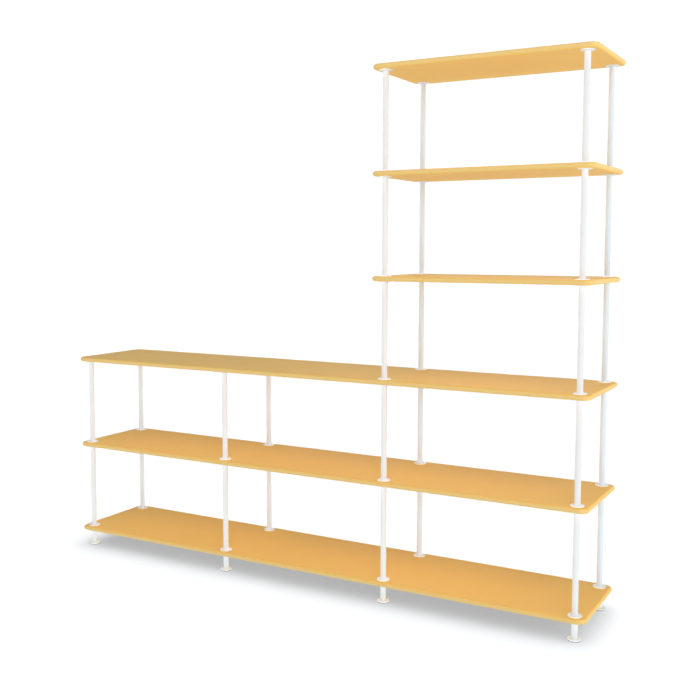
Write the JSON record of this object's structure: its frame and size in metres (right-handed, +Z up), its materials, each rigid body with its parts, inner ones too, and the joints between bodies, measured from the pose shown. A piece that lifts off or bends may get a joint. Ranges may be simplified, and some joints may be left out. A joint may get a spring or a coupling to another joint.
{
  "type": "shelving unit",
  "caption": "Open shelving unit: long boards on round posts with disc collars, one end bay rising as a tower of short boards, on screw-out levelling feet.",
  "frame": {"origin": "on the floor, below the middle of the unit's width and depth", "axes": "+Z up, +X along the width with the tower at its high end, +Y to the back; the picture looks at the front from the tower's side"},
  "size_m": [2.034, 0.366, 1.786],
  "materials": {
    "yellow_lacquer": "satin lacquer on fibreboard, warm yellow",
    "white_powder_coat": "satin powder coat, white",
    "dark_pad": "matt",
    "zinc_steel": "bright zinc plate"
  },
  "bodies": {
    "frame": {"bottom_shelf": "yellow_lacquer", "middle_shelf": "yellow_lacquer", "long_top_shelf": "yellow_lacquer", "tower_lower_shelf": "yellow_lacquer", "tower_upper_shelf": "yellow_lacquer", "tower_top_shelf": "yellow_lacquer", "level_1_front_left_post": "white_powder_coat", "level_1_back_left_post": "white_powder_coat", "level_1_front_mid_left_post": "white_powder_coat", "level_1_back_mid_left_post": "white_powder_coat", "level_1_front_mid_right_post": "white_powder_coat", "level_1_back_mid_right_post": "white_powder_coat", "level_1_front_right_post": "white_powder_coat", "level_1_back_right_post": "white_powder_coat", "level_2_front_left_post": "white_powder_coat", "level_2_back_left_post": "white_powder_coat", "level_2_front_mid_left_post": "white_powder_coat", "level_2_back_mid_left_post": "white_powder_coat", "level_2_front_mid_right_post": "white_powder_coat", "level_2_back_mid_right_post": "white_powder_coat", "level_2_front_right_post": "white_powder_coat", "level_2_back_right_post": "white_powder_coat", "level_3_front_mid_right_post": "white_powder_coat", "level_3_back_mid_right_post": "white_powder_coat", "level_3_front_right_post": "white_powder_coat", "level_3_back_right_post": "white_powder_coat", "level_4_front_mid_right_post": "white_powder_coat", "level_4_back_mid_right_post": "white_powder_coat", "level_4_front_right_post": "white_powder_coat", "level_4_back_right_post": "white_powder_coat", "level_5_front_mid_right_post": "white_powder_coat", "level_5_back_mid_right_post": "white_powder_coat", "level_5_front_right_post": "white_powder_coat", "level_5_back_right_post": "white_powder_coat", "left_foot_posts": "white_powder_coat", "mid_left_foot_posts": "white_powder_coat", "mid_right_foot_posts": "white_powder_coat", "right_foot_posts": "white_powder_coat", "post_collars": "white_powder_coat", "post_end_plugs": "zinc_steel", "joining_studs": "zinc_steel", "blind_studs": "zinc_steel", "insert_nuts": "zinc_steel"},
    "front_left_pad": {"front_left_foot_pad": "dark_pad"},
    "front_left_foot": {"front_left_levelling_foot": "white_powder_coat"},
    "back_left_pad": {"back_left_foot_pad": "dark_pad"},
    "back_left_foot": {"back_left_levelling_foot": "white_powder_coat"},
    "front_mid_left_pad": {"front_mid_left_foot_pad": "dark_pad"},
    "front_mid_left_foot": {"front_mid_left_levelling_foot": "white_powder_coat"},
    "back_mid_left_pad": {"back_mid_left_foot_pad": "dark_pad"},
    "back_mid_left_foot": {"back_mid_left_levelling_foot": "white_powder_coat"},
    "front_mid_right_pad": {"front_mid_right_foot_pad": "dark_pad"},
    "front_mid_right_foot": {"front_mid_right_levelling_foot": "white_powder_coat"},
    "back_mid_right_pad": {"back_mid_right_foot_pad": "dark_pad"},
    "back_mid_right_foot": {"back_mid_right_levelling_foot": "white_powder_coat"},
    "front_right_pad": {"front_right_foot_pad": "dark_pad"},
    "front_right_foot": {"front_right_levelling_foot": "white_powder_coat"},
    "back_right_pad": {"back_right_foot_pad": "dark_pad"},
    "back_right_foot": {"back_right_levelling_foot": "white_powder_coat"}
  },
  "joints": [
    {"name": "front_left_foot_lower", "type": "slide", "parent": "frame", "child": "front_left_pad", "axis": [0, 0, -1], "range_m": [0, 0.01]},
    {"name": "front_left_foot_turn", "type": "hinge", "parent": "front_left_pad", "child": "front_left_foot", "pos_m": [-0.97725, -0.148, 0], "axis": [0, 0, -1], "range_deg": [0, 2880]},
    {"name": "back_left_foot_lower", "type": "slide", "parent": "frame", "child": "back_left_pad", "axis": [0, 0, -1], "range_m": [0, 0.01]},
    {"name": "back_left_foot_turn", "type": "hinge", "parent": "back_left_pad", "child": "back_left_foot", "pos_m": [-0.97725, 0.148, 0], "axis": [0, 0, -1], "range_deg": [0, 2880]},
    {"name": "front_mid_left_foot_lower", "type": "slide", "parent": "frame", "child": "front_mid_left_pad", "axis": [0, 0, -1], "range_m": [0, 0.01]},
    {"name": "front_mid_left_foot_turn", "type": "hinge", "parent": "front_mid_left_pad", "child": "front_mid_left_foot", "pos_m": [-0.32575, -0.148, 0], "axis": [0, 0, -1], "range_deg": [0, 2880]},
    {"name": "back_mid_left_foot_lower", "type": "slide", "parent": "frame", "child": "back_mid_left_pad", "axis": [0, 0, -1], "range_m": [0, 0.01]},
    {"name": "back_mid_left_foot_turn", "type": "hinge", "parent": "back_mid_left_pad", "child": "back_mid_left_foot", "pos_m": [-0.32575, 0.148, 0], "axis": [0, 0, -1], "range_deg": [0, 2880]},
    {"name": "front_mid_right_foot_lower", "type": "slide", "parent": "frame", "child": "front_mid_right_pad", "axis": [0, 0, -1], "range_m": [0, 0.01]},
    {"name": "front_mid_right_foot_turn", "type": "hinge", "parent": "front_mid_right_pad", "child": "front_mid_right_foot", "pos_m": [0.32575, -0.148, 0], "axis": [0, 0, -1], "range_deg": [0, 2880]},
    {"name": "back_mid_right_foot_lower", "type": "slide", "parent": "frame", "child": "back_mid_right_pad", "axis": [0, 0, -1], "range_m": [0, 0.01]},
    {"name": "back_mid_right_foot_turn", "type": "hinge", "parent": "back_mid_right_pad", "child": "back_mid_right_foot", "pos_m": [0.32575, 0.148, 0], "axis": [0, 0, -1], "range_deg": [0, 2880]},
    {"name": "front_right_foot_lower", "type": "slide", "parent": "frame", "child": "front_right_pad", "axis": [0, 0, -1], "range_m": [0, 0.01]},
    {"name": "front_right_foot_turn", "type": "hinge", "parent": "front_right_pad", "child": "front_right_foot", "pos_m": [0.97725, -0.148, 0], "axis": [0, 0, -1], "range_deg": [0, 2880]},
    {"name": "back_right_foot_lower", "type": "slide", "parent": "frame", "child": "back_right_pad", "axis": [0, 0, -1], "range_m": [0, 0.01]},
    {"name": "back_right_foot_turn", "type": "hinge", "parent": "back_right_pad", "child": "back_right_foot", "pos_m": [0.97725, 0.148, 0], "axis": [0, 0, -1], "range_deg": [0, 2880]}
  ],
  "couplings": [
    {"joint": "front_left_foot_lower", "follows": "front_left_foot_turn", "m_per_rad": 0.00019894},
    {"joint": "back_left_foot_lower", "follows": "back_left_foot_turn", "m_per_rad": 0.00019894},
    {"joint": "front_mid_left_foot_lower", "follows": "front_mid_left_foot_turn", "m_per_rad": 0.00019894},
    {"joint": "back_mid_left_foot_lower", "follows": "back_mid_left_foot_turn", "m_per_rad": 0.00019894},
    {"joint": "front_mid_right_foot_lower", "follows": "front_mid_right_foot_turn", "m_per_rad": 0.00019894},
    {"joint": "back_mid_right_foot_lower", "follows": "back_mid_right_foot_turn", "m_per_rad": 0.00019894},
    {"joint": "front_right_foot_lower", "follows": "front_right_foot_turn", "m_per_rad": 0.00019894},
    {"joint": "back_right_foot_lower", "follows": "back_right_foot_turn", "m_per_rad": 0.00019894}
  ]
}
